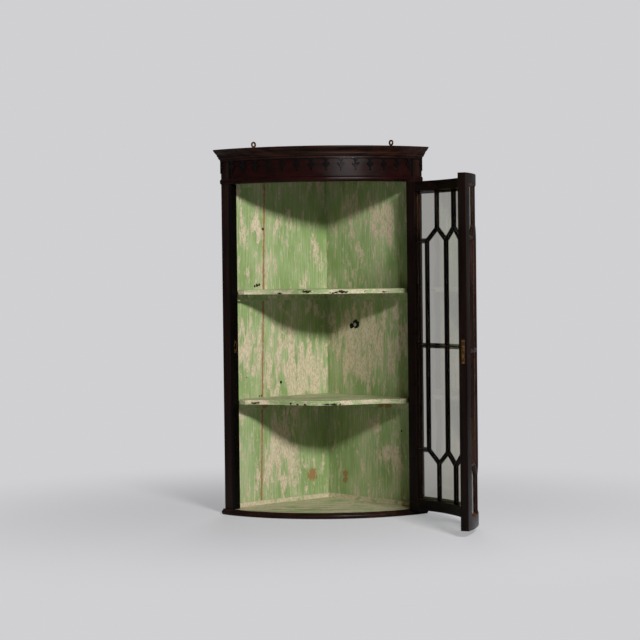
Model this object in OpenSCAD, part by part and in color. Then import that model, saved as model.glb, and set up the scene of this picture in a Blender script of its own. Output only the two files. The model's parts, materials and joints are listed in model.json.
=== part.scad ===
// Bow-fronted hanging corner cabinet with one glazed door, drawn with the door standing open.
// X runs across the front, +Y runs back into the corner of the room and Z is up from the underside.
// The origin lies on the underside, midway between the two ends that meet the walls.

/* [Carcass] */
// Half width between the two ends that meet the walls
half_width = 280; // [270:1:300]
// Length of each canted side, square to its wall
side_len = 32.5; // [30:0.5:36]
// Radius of the bowed front
bow_r = 400; // [390:1:440]
// Height from the underside to the top of the cornice
carcass_h = 1019; // [1000:1:1060]
// Thickness of the two corner posts
post_t = 22; // [21:0.5:26]
// Width of the narrow front face of each post beside the door
post_face = 9; // [7:0.5:14]
// Thickness of the bottom board
bottom_t = 16; // [12:0.5:20]
// Thickness of the top board
top_t = 16; // [12:0.5:20]
// Thickness of the back boards
back_t = 8; // [6:0.5:11]
// Thickness of the curved frieze rail
frieze_t = 21.5; // [21.5:0.5:26]

/* [Mouldings] */
// Height of the cornice
cornice_h = 31; // [26:0.5:36]
// Projection of the cornice
cornice_out = 28; // [22:0.5:32]
// Height of the plain frieze
frieze_h = 50; // [46:0.5:60]
// Height of the bead under the frieze
bead_h = 15; // [10:0.5:18]
// Projection of the bead
bead_out = 4.5; // [3:0.5:7]
// Projection of the base moulding
base_out = 13; // [9:0.5:16]
// Thickness of the pierced arcade on the frieze
arcade_t = 3; // [2:0.25:4]
// Number of drops across the bow
drop_count = 14; // [12:1:16]

/* [Shelves] */
// Height of the lower shelf's top
lower_shelf_z = 321; // [300:1:345]
// Height of the upper shelf's top
upper_shelf_z = 628; // [610:1:655]
// Thickness of the shelves
shelf_t = 12.5; // [10:0.5:18]
// How far the shelf's swelling centre stands in front of its hollows
shelf_swell = 64; // [25:1:66]
// Height of the cleats
cleat_h = 19; // [16:0.5:28]
// Thickness of the cleats
cleat_t = 12; // [9:0.5:16]
// Height of the strips along the floor
strip_h = 12; // [8:0.5:18]
// Thickness of the strips along the floor
strip_t = 7; // [5:0.5:10]

/* [Door] */
// Angle at which the door stands open
open_angle = 106; // [90:1:120]
// Thickness of the door frame
door_t = 21; // [18:0.5:21]
// Gap round the door
door_gap = 1.5; // [1:0.1:2]
// Width of the door's stiles
stile_w = 28; // [24:0.5:34]
// Height of the door's top rail
top_rail_h = 26; // [22:0.5:34]
// Height of the door's bottom rail
bottom_rail_h = 29; // [24:0.5:38]
// Width of the moulding round the glass
sight_w = 8; // [6:0.5:10]
// Width of the moulded face of a glazing bar
bar_w = 9; // [8:0.5:11]
// Depth of the moulded face of a glazing bar
bar_face_d = 5; // [4:0.25:6]
// How far the glazing bars lie behind the face of the frame
bar_recess = 2.5; // [1.5:0.25:3]
// Width of the thin rib behind each glazing bar
rib_w = 3.5; // [3:0.25:4.5]
// Depth of the thin rib
rib_d = 8.5; // [7:0.25:9]
// Thickness of the glass
glass_t = 2; // [1.6:0.1:2.4]
// Angle round the bow between the middle bars
column_angle = 11.8; // [11:0.1:12.4]
// Height from the middle of the door to the joints at the ends of the upright bars
joint_rise = 287; // [270:1:300]
// Height from the middle of the door to the points of the tall lights
point_rise = 322; // [310:1:340]

/* [Brassware] */
// Length of the hinge leaves
hinge_len = 50; // [40:1:60]
// Width of the hinge leaves
hinge_leaf_w = 15; // [12:0.5:17]
// Thickness of the hinge leaves
hinge_leaf_t = 1.6; // [1.2:0.1:1.8]
// Radius of the hinge knuckle
knuckle_r = 3.4; // [3:0.1:3.6]
// Radius of the hinge pin
hinge_pin_r = 1.5; // [1.2:0.1:1.8]
// Height of each hinge's middle above the bottom and below the top of the door
hinge_inset = 120; // [90:1:160]
// Radius of the hanging eye
eye_r = 8.5; // [7:0.25:10]
// Radius of the hole in the hanging eye
eye_hole_r = 4; // [3:0.25:5]
// Height of the hanging eye's centre above the top of the carcass
eye_rise = 20; // [16:0.5:26]
// Thickness of the hanging plates
plate_t = 2.5; // [2:0.1:3]
// Distance along the wall from the front end to the hanging eye
eye_along = 119; // [100:1:140]
// Length of the lock's face plate
lock_plate_len = 60; // [50:1:70]
// Width of the lock's face plate
lock_plate_w = 8; // [7:0.5:9]
// Thickness of the lock's face plate
lock_plate_t = 1.6; // [1.2:0.1:2]
// How far the bolt shoots
bolt_throw = 8; // [5:0.5:9]

/* [Hidden] */

// Facets of the large arcs, and of the small round parts
arc_fn = 240;
small_fn = 32;
// How far a cutting shape runs past what it cuts
over = 1;
// Space left between two pieces that are fitted side by side
fit = 0.1;
// Space left between a piece and a curved or shaped one that carries it
seat_gap = 0.3;
// Space at the one joint in the left-hand back that has opened
open_joint = 1.4;

// Plan: the walls and the canted sides make a square turned by 45 degrees
wall_half = half_width / sqrt(2);
corner_x = half_width - side_len / sqrt(2);
corner_y = -side_len / sqrt(2);
bow_cy = corner_y + sqrt(bow_r * bow_r - corner_x * corner_x);
corner_phi = asin(corner_x / bow_r);
jamb_phi = corner_phi - post_face / bow_r * 180 / PI;
mitre_angle = (corner_phi - 135) / 2;
wall_len = 2 * wall_half;

// Levels
top_z = carcass_h - top_t;
cornice_z = carcass_h - cornice_h;
frieze_z = cornice_z - frieze_h;
head_z = frieze_z - bead_h;

// Door levels and its two edges round the bow
door_z0 = bottom_t + door_gap;
door_z1 = head_z - door_gap;
door_h = door_z1 - door_z0;
door_phi = jamb_phi - door_gap / bow_r * 180 / PI;
stile_phi = door_phi - stile_w / bow_r * 180 / PI;
sight_phi = stile_phi - sight_w / bow_r * 180 / PI;
rail_z0 = door_z0 + bottom_rail_h;
rail_z1 = door_z1 - top_rail_h;
mid_z = (rail_z0 + rail_z1) / 2;
lock_z = mid_z;

// Radii inside the door, counted back from its outer face
bar_front_r = bow_r - bar_recess;
bar_back_r = bar_front_r - bar_face_d;
rib_back_r = bar_back_r - rib_d;

// Hinge axis: just outside the face, in the middle of the gap
knuckle_out_share = 1.15;
hinge_out = knuckle_out_share * knuckle_r;
hinge_phi = (jamb_phi + door_phi) / 2;
hinge_x = (bow_r + hinge_out) * sin(hinge_phi);
hinge_y = bow_cy - (bow_r + hinge_out) * cos(hinge_phi);
hinge_zs = [door_z0 + hinge_inset, door_z1 - hinge_inset];
hinge_play = 0.2;
pin_play = 0.05;
knuckle_count = 5;
leaf_screw_share = 0.55;
leaf_screw_step_share = 0.36;
screw_r = 1.3;
screw_len = 12;
leaf_screw_count = 3;

// Shelf outline
shelf_front_y = -26;
shelf_end_y = -4;

// Arcade: the angle between two drops, and its share of the frieze's height
drop_angle = 5.8;
arcade_share = 0.69;
arcade_h = arcade_share * frieze_h;

// Hanging plates
plate_w = 2 * eye_r;
plate_tail = 34;
plate_recess_play = 0.2;

function arc_points(cx, cy, r, a0, a1, n) =
  [for (i = [0:n]) [cx + r * cos(a0 + (a1 - a0) * i / n), cy + r * sin(a0 + (a1 - a0) * i / n)]];

// Puts a child at an angle round the bow: its local -Y then points straight out of the front
module round_bow(phi) {
  translate([0, bow_cy, 0])
    rotate([0, 0, phi])
      children();
}

// A curved strip between two radii and two angles
module bow_strip(r0, r1, phi0, phi1, z0, z1) {
  translate([0, bow_cy, z0])
    rotate([0, 0, phi0 - 90])
      rotate_extrude(angle = phi1 - phi0, $fn = arc_fn)
        translate([r0, 0])
          square([r1 - r0, z1 - z0]);
}

// The region inside the walls, the canted sides and the bow, with each side drawn in by its own amount
module plan(front_in, side_in, back_in) {
  intersection() {
    rotate(45)
      translate([side_in - wall_half, side_in - wall_half])
        square(2 * wall_half - side_in - back_in);
    translate([0, bow_cy])
      circle(r = bow_r - front_in, $fn = arc_fn);
  }
}

module prism(z0, z1) {
  translate([0, 0, z0])
    linear_extrude(z1 - z0)
      children();
}

// Outline of the bottom and top boards: they lie between the backs, and reach the walls at the posts
module board_outline() {
  plan(0, 0, back_t);
  for (side = [0, 1])
    mirror([side, 0])
      post_outline();
}

// Everything within the thickness of the right-hand post, from the bow to the wall
module post_outline() {
  intersection() {
    plan(0, 0, 0);
    rotate(45)
      translate([-wall_half, -wall_half])
        square([2 * wall_half, post_t]);
  }
}

module bottom_board() {
  color("#9a8a62")
    prism(0, bottom_t) board_outline();
}

module top_board() {
  color("#6b4a35")
    prism(top_z, carcass_h) board_outline();
}

// One upright board of the right-hand back, from its edges' distances along the wall at its foot and
// at its top
module back_board(start, end) {
  difference() {
    rotate([0, 0, 45])
      translate([wall_half - back_t, -wall_half, 0])
        rotate([90, 0, 90])
          linear_extrude(back_t)
            polygon([[start[0], 0], [end[0], 0], [end[1], carcass_h], [start[1], carcass_h]]);
    children();
  }
}

// Recess for the hanging plate, cut into the wall side of the right-hand back
module plate_recess() {
  rotate([0, 0, 45])
    translate([wall_half - plate_t, eye_along - wall_half - plate_w / 2 - plate_recess_play,
               carcass_h - plate_tail - plate_recess_play])
      cube([plate_t + over, plate_w + 2 * plate_recess_play, plate_tail + plate_recess_play + over]);
}

// Shares of the wall at which the boards of a back meet, at their feet and at their tops
foot_share = [0.32, 0.67];
top_share = [0.39, 0.69];

// Where board i starts, for a joint of that width before it
function board_start(i, gap) =
  i == 0 ? [post_t + fit, post_t + fit]
         : [foot_share[i - 1], top_share[i - 1]] * wall_len + [gap, gap] / 2;
function board_end(i, gap, last) =
  i == 2 ? [wall_len - last, wall_len - last]
         : [foot_share[i], top_share[i]] * wall_len - [gap, gap] / 2;

module right_back(i) {
  color("#a8b489")
    back_board(board_start(i, fit), board_end(i, fit, back_t + fit))
      if (i == 0) plate_recess_and_holes();
}

module left_back(i) {
  color("#a8b489")
    mirror([1, 0, 0])
      back_board(board_start(i, i == 1 ? open_joint : fit), board_end(i, i == 0 ? open_joint : fit, 0))
        if (i == 0) plate_recess_and_holes();
}

module plate_recess_and_holes() {
  plate_recess();
  plate_screws(screw_r);
}

// Right-hand corner post: a canted side whose inner edge is the jamb of the door
module right_post() {
  color("#2a1710")
    difference() {
      prism(bottom_t, top_z)
        intersection() {
          post_outline();
          translate([0, bow_cy])
            rotate(jamb_phi - 90)
              square([2 * bow_r, 2 * bow_r]);
        }
      children();
    }
}

module frieze_rail() {
  color("#33150f")
    bow_strip(bow_r - frieze_t, bow_r - fit, -jamb_phi, jamb_phi, head_z, top_z);
}

// Glue blocks behind the frieze: a middle one, and two on each side that stay clear of the stop
glue_block_side_count = 2;
glue_block_size = 22;
glue_block_gap = 14;

module glue_blocks() {
  last_phi = jamb_phi - (2 * stop_t + stop_w + glue_block_gap + glue_block_size / 2) / bow_r * 180 / PI;
  color("#8a6a48")
    for (i = [-glue_block_side_count:glue_block_side_count])
      round_bow(i / glue_block_side_count * last_phi)
        translate([-glue_block_size / 2, frieze_t + seat_gap - bow_r, top_z])
          rotate([0, 90, 0])
            linear_extrude(glue_block_size)
              polygon([[0, 0], [glue_block_size, 0], [0, glue_block_size]]);
}

stop_t = 12;
stop_w = 24;
stop_drop = 10;

// Block behind the frieze that the top rail of the closed door comes up against
module door_stop() {
  r = bow_r - frieze_t - fit;
  start = -jamb_phi + 2 * stop_t / bow_r * 180 / PI;
  color("#a8b489")
    bow_strip(r - stop_t, r, start, start + stop_w / bow_r * 180 / PI, head_z - stop_drop, top_z - fit);
}

// Serpentine front line of a shelf: a swelling centre between two hollows
wave_share = 0.62;
end_share = 0.8;
end_rise_share = 0.35;
function shelf_front(t) = shelf_front_y - shelf_swell / 2 - shelf_swell / 2 * cos(360 * wave_share * t)
  + (t > end_share
     ? (shelf_end_y - shelf_front_y) * pow((t - end_share) / (1 - end_share), 2) * end_rise_share : 0);
shelf_steps = 24;

module shelf(z) {
  w = corner_x - post_t;
  color("#b9c39a")
    prism(z - shelf_t, z)
      intersection() {
        plan(frieze_t, post_t + seat_gap, back_t + seat_gap);
        polygon(concat(
          [for (i = [-shelf_steps:shelf_steps]) [w * i / shelf_steps, shelf_front(abs(i) / shelf_steps)]],
          [[w, half_width], [-w, half_width]]));
      }
}

// Cleat under a shelf along the right-hand back, with its front end cut back at a slant
cleat_set_back = 5;
cleat_slant_share = 0.42;

module right_cleat(z) {
  start = post_t + cleat_set_back - wall_half;
  end = wall_half - back_t - cleat_t - fit;
  color("#b9c39a")
    rotate([0, 0, 45])
      translate([wall_half - back_t - seat_gap / 2, 0, z - shelf_t - seat_gap / 2])
        mirror([1, 0, 0])
          rotate([90, 0, 90])
            linear_extrude(cleat_t)
              polygon([[start, 0], [end, 0], [end, -cleat_h],
                       [start + cleat_h * cleat_slant_share, -cleat_h]]);
}

module left_cleat(z) {
  mirror([1, 0, 0])
    right_cleat(z);
}

// How far the strips on the floor start behind the corner posts
strip_set_back = 6.5;

module right_strip() {
  start = post_t + strip_set_back - wall_half;
  color("#c6bfa0")
    rotate([0, 0, 45])
      translate([wall_half - back_t - strip_t - fit, start, bottom_t])
        cube([strip_t, wall_half - back_t - strip_t - 2 * fit - start, strip_h]);
}

module left_strip() {
  mirror([1, 0, 0]) right_strip();
}

// The space beyond the right-hand mitre, on the side away from the bow
module beyond_mitre() {
  reach = 4 * side_len;
  translate([corner_x, corner_y, 0])
    rotate([0, 0, mitre_angle])
      translate([-reach, 0, -over])
        cube([2 * reach, reach, carcass_h + reach]);
}

// Angle by which a curved moulding is drawn past its mitres before it is cut
past_mitre = 6;

// A moulding round the bow from an outline of projection against height
module bow_moulding(points, z) {
  difference() {
    translate([0, bow_cy, z])
      rotate([0, 0, -corner_phi - past_mitre - 90])
        rotate_extrude(angle = 2 * (corner_phi + past_mitre), $fn = arc_fn)
          polygon([for (p = points) [bow_r + p[0], p[1]]]);
    beyond_mitre();
    mirror([1, 0, 0]) beyond_mitre();
  }
}

// The same moulding along the right-hand canted side
module side_moulding(points, z) {
  intersection() {
    translate([half_width, 0, z])
      rotate([90, 0, -45])
        linear_extrude(side_len + side_len / 2)
          polygon(points);
    beyond_mitre();
  }
}

// Outlines of the mouldings, as shares of their projection and height
cyma_flat_share = 0.6;
cyma_shares = [for (i = [1:9]) let (t = i / 10) [0.5 + 0.42 * (t - sin(360 * t) / (2 * PI) * cyma_flat_share),
                                                0.43 + 0.44 * t]];
cornice_shares = concat(
  [[0, 0], [0.14, 0], [0.14, 0.12]], arc_points(0.14, 0.37, 0.25, -90, 0, 6), [[0.5, 0.37], [0.5, 0.43]],
  cyma_shares, [[1, 0.89], [1, 1], [0, 1]]);
bead_shares = concat([[0, 0]], [for (a = [-80:20:80]) [cos(a), (1 + sin(a)) / 2]], [[0, 1]]);
base_shares = concat(
  [[0, 0], [0.75, 0]], [for (a = [-90:18:90]) [0.75 + 0.25 * cos(a), 0.42 + 0.3 * sin(a)]],
  [[0.6, 0.8], [0.6, 1], [0, 1]]);
function moulded(shares, out, high) = [for (p = shares) [p[0] * out, p[1] * high]];
function cornice_points() = moulded(cornice_shares, cornice_out, cornice_h);
function bead_points() = moulded(bead_shares, bead_out, bead_h);
function base_points() = moulded(base_shares, base_out, bottom_t);

module cornice_side() {
  color("#2b1510") side_moulding(cornice_points(), cornice_z);
}

module bead_side() {
  color("#3a1a12") side_moulding(bead_points(), head_z);
}

module base_side() {
  color("#2b1510") side_moulding(base_points(), 0);
}

// Shares of the arcade's height (top of an arch, lobes of a trefoil) and of its pitch (the rest)
drop_pitch = drop_angle / 180 * PI * bow_r;
arch_top_share = 0.06;
arch_round_share = 0.25;
neck_share = 0.12;
lobe_shares = [[-0.13, 0.48], [0.13, 0.48], [0, 0.64]];
lobe_size_share = 0.11;
stem_share = 0.08;
ball_share = 0.065;
arch_top = arch_top_share * arcade_h;
arch_r = arch_round_share * drop_pitch;
lobe_r = lobe_size_share * drop_pitch;
stem_w = stem_share * drop_pitch;
ball_r = ball_share * drop_pitch;

// One drop of the arcade, hanging down the Y axis from its top at Y zero: a trefoil, a stem and a ball
module drop_outline() {
  for (p = lobe_shares)
    translate([p[0] * drop_pitch, -p[1] * arcade_h]) circle(r = lobe_r, $fn = small_fn);
  translate([-stem_w / 2, -arcade_h]) square([stem_w, arcade_h]);
  translate([0, ball_r - arcade_h - fit]) circle(r = ball_r, $fn = small_fn);
}

// One opening of the arcade, centred on the Y axis between two drops
module arch_outline() {
  difference() {
    union() {
      for (side = [-1, 1])
        translate([side * (drop_pitch / 2 * (1 - neck_share) - arch_r), -arch_top - arch_r])
          circle(r = arch_r, $fn = small_fn);
      translate([arch_r - drop_pitch / 2 * (1 - neck_share), -arcade_h])
        square([drop_pitch * (1 - neck_share) - 2 * arch_r, arcade_h - arch_top]);
      translate([(fit - drop_pitch) / 2, -arcade_h - over])
        square([drop_pitch - fit, arcade_h + over - arch_top - arch_r]);
    }
    for (side = [-1, 1])
      translate([side * drop_pitch / 2, 0]) drop_outline();
  }
}

module frieze_arcade_front() {
  color("#1d0f0b")
    difference() {
      bow_strip(bow_r, bow_r + arcade_t, -corner_phi - past_mitre, corner_phi + past_mitre,
                cornice_z - arcade_h, cornice_z);
      for (i = [0:drop_count])
        round_bow((i - drop_count / 2) * drop_angle)
          translate([0, over - bow_r, cornice_z])
            rotate([90, 0, 0])
              linear_extrude(arcade_t + 2 * over)
                arch_outline();
      beyond_mitre();
      mirror([1, 0, 0]) beyond_mitre();
    }
}

// Arcade on the right-hand canted side: one opening, and half a drop against the wall
module frieze_arcade_side() {
  color("#1d0f0b")
    intersection() {
      translate([corner_x, corner_y, cornice_z])
        rotate([0, 0, 45])
          rotate([90, 0, 0])
            linear_extrude(arcade_t)
              difference() {
                translate([-side_len / 2, -arcade_h]) square([side_len + side_len / 2, arcade_h]);
                translate([side_len - drop_pitch / 2, 0]) arch_outline();
                translate([-side_len / 2, -arcade_h - over])
                  square([side_len, arcade_h + over - arch_top - arch_r]);
              }
      beyond_mitre();
    }
}

// The right-hand hanging plate, drawn flat on X and Y with Y up from the top of the carcass
module plate_outline() {
  difference() {
    union() {
      translate([0, eye_rise]) circle(r = eye_r, $fn = small_fn);
      translate([-plate_w / 4, -over]) square([plate_w / 2, eye_rise + over]);
      translate([-plate_w / 2, -plate_tail]) square([plate_w, plate_tail]);
    }
    translate([0, eye_rise]) circle(r = eye_hole_r, $fn = small_fn);
    for (y = plate_screw_ys) translate([0, y]) circle(r = screw_r + fit, $fn = small_fn);
  }
}
plate_screw_shares = [0.3, 0.75];
plate_screw_ys = [for (share = plate_screw_shares) -plate_tail * share];

// Puts a flat outline on the wall side of the right-hand back, at the hanging plate
module on_plate(depth) {
  rotate([0, 0, 45])
    translate([wall_half - depth, eye_along - wall_half, carcass_h])
      rotate([90, 0, 90])
        children();
}

module right_plate() {
  color("#b08d3c")
    on_plate(plate_t) linear_extrude(plate_t) plate_outline();
}

// How far the screws of the hanging plates stop short of the two faces of the back
plate_screw_short = 0.5;

module plate_screws(r) {
  on_plate(back_t - plate_screw_short)
    for (y = plate_screw_ys)
      translate([0, y, 0]) cylinder(r = r, h = back_t - 2 * plate_screw_short, $fn = small_fn);
}

module hanging_screws() {
  color("#8c6f2e")
    for (side = [0, 1])
      mirror([side, 0, 0])
        plate_screws(screw_r);
}

// Turns the closed door to where it stands open
module opened() {
  translate([hinge_x, hinge_y, 0])
    rotate([0, 0, open_angle])
      translate([-hinge_x, -hinge_y, 0])
        children();
}

module door_piece(r0, r1, phi0, phi1, z0, z1) {
  opened() bow_strip(r0, r1, phi0, phi1, z0, z1);
}

module hinge_stile() {
  color("#2a1710")
    opened()
      difference() {
        bow_strip(bow_r - door_t, bow_r, stile_phi, door_phi, door_z0, door_z1);
        for (z = hinge_zs) leaf_recess(-1, z);
        leaf_screws(-1, screw_r);
      }
}

module lock_stile() {
  color("#3b2116")
    opened()
      difference() {
        bow_strip(bow_r - door_t, bow_r, -door_phi, -stile_phi, door_z0, door_z1);
        lock_space(fit);
        keyhole(keyhole_r + escutcheon_w);
      }
}

module door_top_rail() {
  color("#2a1710") door_piece(bow_r - door_t, bow_r, -stile_phi, stile_phi, rail_z1, door_z1);
}

module door_bottom_rail() {
  color("#2a1710") door_piece(bow_r - door_t, bow_r, -stile_phi, stile_phi, door_z0, rail_z0);
}

// Moulding round the inside of the frame, in front of the glass
module sight_moulding() {
  r0 = bar_back_r;
  r1 = bar_front_r;
  color("#1d0f0b")
    opened()
      difference() {
        bow_strip(r0, r1, -stile_phi, stile_phi, rail_z0, rail_z1);
        bow_strip(r0 - over, r1 + over, -sight_phi, sight_phi, rail_z0 + sight_w, rail_z1 - sight_w);
      }
}

// The lights of the upper half, each the angle of its middle round the bow and its outline going
// round, in angles and in heights above the middle of the door. The edges that meet the frame
// are drawn past it.
tall_lights = [for (i = [-3:3])
  let (lo = i == -3 ? -door_phi : (i - 0.5) * column_angle,
       hi = i == 3 ? door_phi : (i + 0.5) * column_angle)
    [(max(lo, -stile_phi) + min(hi, stile_phi)) / 2,
     concat([[lo, 0], [hi, 0], [hi, joint_rise]],
            abs(i) < 3 ? [[i * column_angle, point_rise]] : [],
            [[lo, joint_rise]])]];
short_lights = [for (i = [-3:2])
  let (lo = i == -3 ? -door_phi : i * column_angle,
       hi = i == 2 ? door_phi : (i + 1) * column_angle,
       middle = (i + 0.5) * column_angle)
    [middle,
     [[middle, joint_rise], [hi, i == 2 ? joint_rise : point_rise], [hi, door_h / 2],
      [lo, door_h / 2], [lo, i == -3 ? joint_rise : point_rise]]]];

// Moves each side of an outline inwards; the outline goes round anticlockwise
function drawn_in(points, d) = [for (i = [0:len(points) - 1])
  let (n = len(points),
       a = side_normal(points[(i + n - 1) % n], points[i]),
       b = side_normal(points[i], points[(i + 1) % n]))
    points[i] + d * (a + b) / (1 + a * b)];
function side_normal(p, q) = [p[1] - q[1], q[0] - p[0]] / norm(q - p);

// Blocks through the bow between two radii, one at each light, drawn in from the middles of its bars
module light_blocks(lights, half, draw_in, r0, r1) {
  reach = over + bow_r * (1 - cos(column_angle / 2));
  translate([0, 0, mid_z])
    mirror([0, 0, half])
      for (light = lights)
        round_bow(light[0])
          translate([0, reach - r0, 0])
            rotate([90, 0, 0])
              linear_extrude(r1 - r0 + 2 * reach)
                polygon(drawn_in([for (p = light[1]) [bar_back_r * sin(p[0] - light[0]), p[1]]], draw_in));
}

// A lattice cut from a curved sheet by taking out all the lights
module lattice(w, r0, r1, phi, z0, z1) {
  difference() {
    bow_strip(r0, r1, -phi, phi, z0, z1);
    for (half = [0, 1]) {
      light_blocks(tall_lights, half, w / 2, r0, r1);
      light_blocks(short_lights, half, w / 2, r0, r1);
    }
  }
}

module tracery_ribs() {
  color("#1d0f0b")
    opened() lattice(rib_w, rib_back_r, bar_back_r - fit, stile_phi, rail_z0, rail_z1);
}

module tracery_bars() {
  color("#1d0f0b")
    opened() lattice(bar_w, bar_back_r, bar_front_r, sight_phi, rail_z0 + sight_w, rail_z1 - sight_w);
}

// A row of panes on the upper (0) or lower (1) half
module panes(lights, half) {
  r1 = bar_back_r - fit;
  edge_phi = stile_phi - fit / bow_r * 180 / PI;
  color([0.75, 0.8, 0.8, 0.35])
    opened()
      intersection() {
        bow_strip(r1 - glass_t, r1, -edge_phi, edge_phi, rail_z0 + fit, rail_z1 - fit);
        light_blocks(lights, half, rib_w / 2 + fit, r1 - glass_t, r1);
      }
}

// The edge of the hinge gap on the fixed side is +1, and on the door's side -1
module at_hinge_gap() {
  round_bow(hinge_phi) children();
}

knuckle_clear = 0.4;
leaf_inner = knuckle_r + knuckle_clear;

// A leaf let into the edge of the post (+1) or of the door (-1), at one hinge
module leaf_plate(side, z) {
  at_hinge_gap()
    translate([side > 0 ? door_gap / 2 : -door_gap / 2 - hinge_leaf_t, leaf_inner - bow_r - hinge_out,
               z - hinge_len / 2])
      cube([hinge_leaf_t, hinge_leaf_w, hinge_len]);
}

// The recess that takes a leaf and the neck of its knuckle, open to the gap and to the front
module leaf_recess(side, z) {
  depth = door_gap / 2 + hinge_leaf_t + fit;
  at_hinge_gap()
    translate([side > 0 ? 0 : -depth, -bow_r - hinge_out, z - hinge_len / 2 - fit])
      cube([depth, leaf_inner + hinge_leaf_w + fit, hinge_len + 2 * fit]);
}

module leaf_knuckles(side, z) {
  step = hinge_len / knuckle_count;
  for (i = [(side > 0 ? 0 : 1):2:knuckle_count - 1])
    translate([0, 0, z - hinge_len / 2 + i * step + hinge_play / 2]) {
      translate([hinge_x, hinge_y, 0])
        cylinder(r = knuckle_r, h = step - hinge_play, $fn = small_fn);
      at_hinge_gap()
        translate([side > 0 ? door_gap / 2 : -door_gap / 2 - hinge_leaf_t, -bow_r - hinge_out, 0])
          cube([hinge_leaf_t, leaf_inner + over, step - hinge_play]);
    }
}

module hinge_leaf(side, z) {
  difference() {
    union() {
      leaf_plate(side, z);
      leaf_knuckles(side, z);
    }
    translate([hinge_x, hinge_y, z - hinge_len])
      cylinder(r = hinge_pin_r + pin_play, h = 2 * hinge_len, $fn = small_fn);
    leaf_screws(side, screw_r + fit);
  }
}

// Screws through one side's leaves, as plain shanks
module leaf_screws(side, r) {
  for (z = hinge_zs)
    for (i = [0:leaf_screw_count - 1])
      at_hinge_gap()
        translate([side * door_gap / 2, -bow_r - hinge_out + leaf_inner + hinge_leaf_w * leaf_screw_share,
                   z + (i - (leaf_screw_count - 1) / 2) * hinge_len * leaf_screw_step_share])
          rotate([0, side * 90, 0])
            cylinder(r = r, h = screw_len, $fn = small_fn);
}

module hinge_pins() {
  color("#9c7c38")
    for (z = hinge_zs)
      translate([hinge_x, hinge_y, z - hinge_len / 2])
        cylinder(r = hinge_pin_r, h = hinge_len, $fn = small_fn);
}

// Lock: its case lies in the free stile and its plate shows in the edge
lock_case_w = 22;
lock_case_t = 7;
bolt_h = 16;
bolt_t = 5;
bolt_len_share = 0.7;
bolt_play = 0.2;
mortice_play = 0.5;
lock_screw_inset = 4;
lock_case_h = lock_plate_len - 4 * lock_screw_inset;
keyhole_r = 2;
escutcheon_w = 1;

// Puts a child at the free edge: local +X runs out of the edge, -Y out of the face, Z is up
module at_free_edge() {
  round_bow(-door_phi)
    mirror([1, 0, 0])
      translate([0, -bow_r + door_t / 2, lock_z])
        children();
}

module lock_space(grow) {
  at_free_edge() {
    translate([-lock_plate_t - grow, -lock_plate_w / 2 - grow, -lock_plate_len / 2 - grow])
      cube([lock_plate_t + grow + over, lock_plate_w + 2 * grow, lock_plate_len + 2 * grow]);
    translate([-lock_case_w - grow, -lock_case_t / 2 - grow, -lock_case_h / 2 - grow])
      cube([lock_case_w + grow, lock_case_t + 2 * grow, lock_case_h + 2 * grow]);
    lock_screw_shanks(screw_r);
  }
}

lock_screw_zs = [lock_screw_inset - lock_plate_len / 2, lock_plate_len / 2 - lock_screw_inset];

module lock_screw_shanks(r) {
  for (z = lock_screw_zs)
    translate([0, 0, z])
      rotate([0, -90, 0])
        cylinder(r = r, h = screw_len, $fn = small_fn);
}

// The bolt, or with play the space that it slides in, open at the edge of the door
module bolt_block(play) {
  back = bolt_len_share * lock_case_w + play;
  translate([-back, -bolt_t / 2 - play, -bolt_h / 2 - play])
    cube([back + (play > 0 ? over : 0), bolt_t + 2 * play, bolt_h + 2 * play]);
}

module lock_case() {
  color("#b08d3c")
    opened()
      difference() {
        at_free_edge() {
          translate([-lock_plate_t, -lock_plate_w / 2, -lock_plate_len / 2])
            cube([lock_plate_t, lock_plate_w, lock_plate_len]);
          translate([-lock_case_w, -lock_case_t / 2, -lock_case_h / 2])
            cube([lock_case_w - lock_plate_t / 2, lock_case_t, lock_case_h]);
        }
        at_free_edge() bolt_block(bolt_play);
        at_free_edge() lock_screw_shanks(screw_r + fit);
      }
}

module lock_screws() {
  color("#8c6f2e") opened() at_free_edge() lock_screw_shanks(screw_r);
}

module lock_bolt() {
  color("#c9a24a") opened() at_free_edge() bolt_block(0);
}

keyhole_in = 14;

module keyhole(r) {
  at_free_edge()
    translate([-keyhole_in, 0, -lock_case_h / 4])
      rotate([90, 0, 0])
        cylinder(r = r, h = door_t, $fn = small_fn);
}

module keyhole_escutcheon() {
  color("#b08d3c")
    opened()
      intersection() {
        difference() {
          keyhole(keyhole_r + escutcheon_w - fit);
          keyhole(keyhole_r);
        }
        bow_strip(bow_r - 3 * escutcheon_w, bow_r, -door_phi, -stile_phi, door_z0, door_z1);
      }
}

// Strike let into the left-hand jamb, opposite the bolt of the closed door
module at_lock_jamb() {
  round_bow(-jamb_phi)
    mirror([1, 0, 0])
      translate([0, -bow_r + door_t / 2, lock_z])
        children();
}

strike_len = 34;

module strike_plate_block(grow, ahead) {
  translate([-ahead, -lock_plate_w / 2 - grow, -strike_len / 2 - grow])
    cube([lock_plate_t + grow + ahead, lock_plate_w + 2 * grow, strike_len + 2 * grow]);
}

module bolt_mortice() {
  translate([-over, -bolt_t / 2 - mortice_play, -bolt_h / 2 - mortice_play])
    cube([over + bolt_throw + 2 * mortice_play, bolt_t + 2 * mortice_play, bolt_h + 2 * mortice_play]);
}

module lock_strike() {
  color("#b08d3c")
    at_lock_jamb()
      difference() {
        strike_plate_block(0, 0);
        bolt_mortice();
      }
}

module left_post() {
  mirror([1, 0, 0])
    right_post()
      mirror([1, 0, 0])
        at_lock_jamb() {
          strike_plate_block(fit, over);
          bolt_mortice();
        }
}

module right_post_cut() {
  right_post() {
    for (z = hinge_zs) leaf_recess(1, z);
    leaf_screws(1, screw_r);
  }
}

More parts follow.
